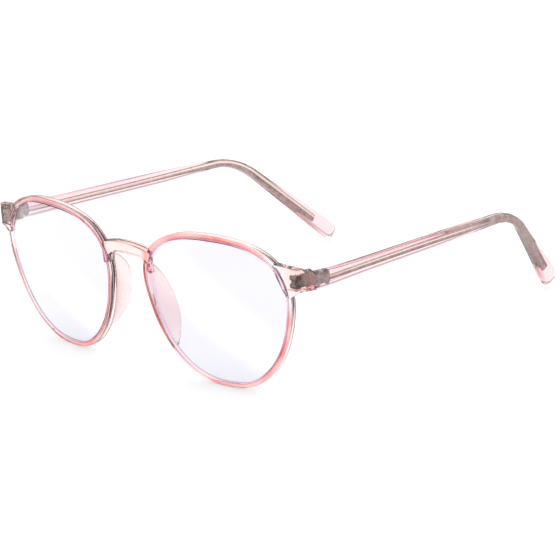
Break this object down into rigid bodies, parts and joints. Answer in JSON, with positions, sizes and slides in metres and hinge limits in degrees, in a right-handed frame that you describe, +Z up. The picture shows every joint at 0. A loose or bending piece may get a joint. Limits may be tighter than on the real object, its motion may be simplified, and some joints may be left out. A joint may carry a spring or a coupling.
{
  "type": "glasses",
  "caption": "Round-topped clear pink spectacle frame with tinted flat-power lenses, bonded nose pads and two folding wire-core temples on screwed hinges.",
  "frame": {"origin": "middle of the glasses in plan, on the table that the rims' bottoms and the temple tips stand on", "axes": "+X to the wearer's left across the face, -Y is the way the lenses face and +Y runs back along the temples, +Z up"},
  "size_m": [0.1422, 0.1403, 0.0486],
  "materials": {
    "clear_pink_plastic": "polished, see-through, faint pink",
    "pad_plastic": "milky pink, smooth",
    "lens": "clear with a faint violet coating",
    "nickel": "satin grey-brown metal"
  },
  "bodies": {
    "front": {"front_frame": "clear_pink_plastic", "lens_left": "lens", "lens_right": "lens", "nose_pad_left": "pad_plastic", "nose_pad_right": "pad_plastic", "front_hinge_left": "nickel", "front_hinge_right": "nickel", "hinge_screw_left": "nickel", "hinge_screw_right": "nickel"},
    "left_temple": {"temple_left": "clear_pink_plastic", "temple_hinge_left": "nickel", "core_wire_left": "nickel"},
    "right_temple": {"temple_right": "clear_pink_plastic", "temple_hinge_right": "nickel", "core_wire_right": "nickel"}
  },
  "joints": [
    {"name": "left_temple_fold", "type": "hinge", "parent": "front", "child": "left_temple", "pos_m": [0.0666, -0.05643, 0.0375], "axis": [0, 0, 1], "range_deg": [0, 83]},
    {"name": "right_temple_fold", "type": "hinge", "parent": "front", "child": "right_temple", "pos_m": [-0.0666, -0.05643, 0.0375], "axis": [0, 0, -1], "range_deg": [0, 73]}
  ]
}
